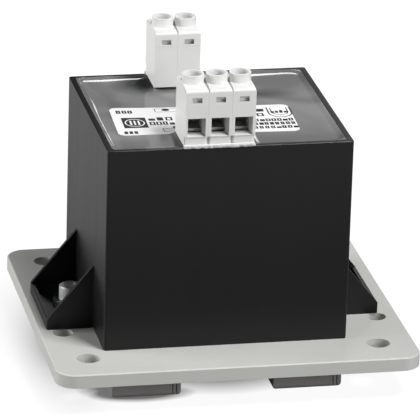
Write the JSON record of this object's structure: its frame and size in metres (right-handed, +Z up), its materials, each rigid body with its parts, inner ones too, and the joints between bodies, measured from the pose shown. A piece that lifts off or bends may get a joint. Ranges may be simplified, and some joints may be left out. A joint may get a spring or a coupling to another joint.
{
  "type": "din rail transformer",
  "caption": "Potted mains transformer in a black box case on a pale mounting plate, with clip-on feet for a 35 mm rail and screw terminals on its front and rear rims.",
  "frame": {"origin": "the middle of the mounting plate's outline, on the surface that the two feet stand on", "axes": "+Z up, +X along the rail, -Y towards the side with the input terminals"},
  "size_m": [0.1564, 0.144, 0.1387],
  "materials": {
    "plate_plastic": "satin",
    "case_plastic": "satin",
    "foot_plastic": "matte",
    "terminal_plastic": "satin",
    "zinc_steel": "bright zinc",
    "cage_steel": "nickel plated",
    "spring_steel": "drawn wire",
    "strip_brass": "satin",
    "core_steel": "oxidised sheet edges",
    "copper_wire": "enamelled",
    "former_plastic": "matte",
    "lead_insulation": "satin",
    "insulation_paper": "matte",
    "resin": "gloss",
    "label_paper": "satin"
  },
  "bodies": {
    "frame": {"mounting_plate": "plate_plastic", "case": "case_plastic", "lug_screws": "zinc_steel", "lug_washers": "zinc_steel", "lug_nuts": "zinc_steel", "foot_screws": "zinc_steel", "rail_foot_left": "foot_plastic", "rail_foot_right": "foot_plastic", "e_core": "core_steel", "i_core": "core_steel", "coil_former": "former_plastic", "primary_winding": "copper_wire", "winding_insulation": "insulation_paper", "secondary_winding": "copper_wire", "outer_wrap": "insulation_paper", "thermal_fuse": "former_plastic", "primary_leads": "lead_insulation", "secondary_leads": "lead_insulation", "terminal_housing_in_1": "terminal_plastic", "contact_strip_in_1": "strip_brass", "terminal_housing_in_2": "terminal_plastic", "contact_strip_in_2": "strip_brass", "terminal_housing_in_3": "terminal_plastic", "contact_strip_in_3": "strip_brass", "terminal_housing_out_1": "terminal_plastic", "contact_strip_out_1": "strip_brass", "terminal_housing_out_2": "terminal_plastic", "contact_strip_out_2": "strip_brass", "potting_resin": "resin", "rating_label": "label_paper", "latch_spring_left": "spring_steel", "latch_spring_right": "spring_steel"},
    "cage_in_1": {"clamp_cage_in_1": "cage_steel"},
    "screw_in_1": {"clamp_screw_in_1": "zinc_steel"},
    "cage_in_2": {"clamp_cage_in_2": "cage_steel"},
    "screw_in_2": {"clamp_screw_in_2": "zinc_steel"},
    "cage_in_3": {"clamp_cage_in_3": "cage_steel"},
    "screw_in_3": {"clamp_screw_in_3": "zinc_steel"},
    "cage_out_1": {"clamp_cage_out_1": "cage_steel"},
    "screw_out_1": {"clamp_screw_out_1": "zinc_steel"},
    "cage_out_2": {"clamp_cage_out_2": "cage_steel"},
    "screw_out_2": {"clamp_screw_out_2": "zinc_steel"},
    "latch_left": {"rail_latch_left": "foot_plastic"},
    "latch_right": {"rail_latch_right": "foot_plastic"}
  },
  "joints": [
    {"name": "screw_turn_in_1", "type": "hinge", "parent": "frame", "child": "screw_in_1", "pos_m": [-0.01755, -0.03735, 0.1332], "axis": [0, 0, -1], "range_deg": [0, 2571.5]},
    {"name": "cage_lift_in_1", "type": "slide", "parent": "frame", "child": "cage_in_1", "axis": [0, 0, 1], "range_m": [0, 0.005]},
    {"name": "screw_turn_in_2", "type": "hinge", "parent": "frame", "child": "screw_in_2", "pos_m": [-0.00755, -0.03735, 0.1332], "axis": [0, 0, -1], "range_deg": [0, 2571.5]},
    {"name": "cage_lift_in_2", "type": "slide", "parent": "frame", "child": "cage_in_2", "axis": [0, 0, 1], "range_m": [0, 0.005]},
    {"name": "screw_turn_in_3", "type": "hinge", "parent": "frame", "child": "screw_in_3", "pos_m": [0.00245, -0.03735, 0.1332], "axis": [0, 0, -1], "range_deg": [0, 2571.5]},
    {"name": "cage_lift_in_3", "type": "slide", "parent": "frame", "child": "cage_in_3", "axis": [0, 0, 1], "range_m": [0, 0.005]},
    {"name": "screw_turn_out_1", "type": "hinge", "parent": "frame", "child": "screw_out_1", "pos_m": [-0.0161, 0.03735, 0.1332], "axis": [0, 0, -1], "range_deg": [0, 2571.5]},
    {"name": "cage_lift_out_1", "type": "slide", "parent": "frame", "child": "cage_out_1", "axis": [0, 0, 1], "range_m": [0, 0.005]},
    {"name": "screw_turn_out_2", "type": "hinge", "parent": "frame", "child": "screw_out_2", "pos_m": [-0.0061, 0.03735, 0.1332], "axis": [0, 0, -1], "range_deg": [0, 2571.5]},
    {"name": "cage_lift_out_2", "type": "slide", "parent": "frame", "child": "cage_out_2", "axis": [0, 0, 1], "range_m": [0, 0.005]},
    {"name": "latch_slide_left", "type": "slide", "parent": "frame", "child": "latch_left", "axis": [0, 1, 0], "range_m": [0, 0.003], "stiffness_N_per_m": 1500, "springref_m": -0.004, "deforming": ["latch_spring_left"]},
    {"name": "latch_slide_right", "type": "slide", "parent": "frame", "child": "latch_right", "axis": [0, 1, 0], "range_m": [0, 0.003], "stiffness_N_per_m": 1500, "springref_m": -0.004, "deforming": ["latch_spring_right"]}
  ],
  "couplings": [
    {"joint": "screw_turn_in_1", "follows": "cage_lift_in_1", "rad_per_m": 8976},
    {"joint": "screw_turn_in_2", "follows": "cage_lift_in_2", "rad_per_m": 8976},
    {"joint": "screw_turn_in_3", "follows": "cage_lift_in_3", "rad_per_m": 8976},
    {"joint": "screw_turn_out_1", "follows": "cage_lift_out_1", "rad_per_m": 8976},
    {"joint": "screw_turn_out_2", "follows": "cage_lift_out_2", "rad_per_m": 8976}
  ]
}
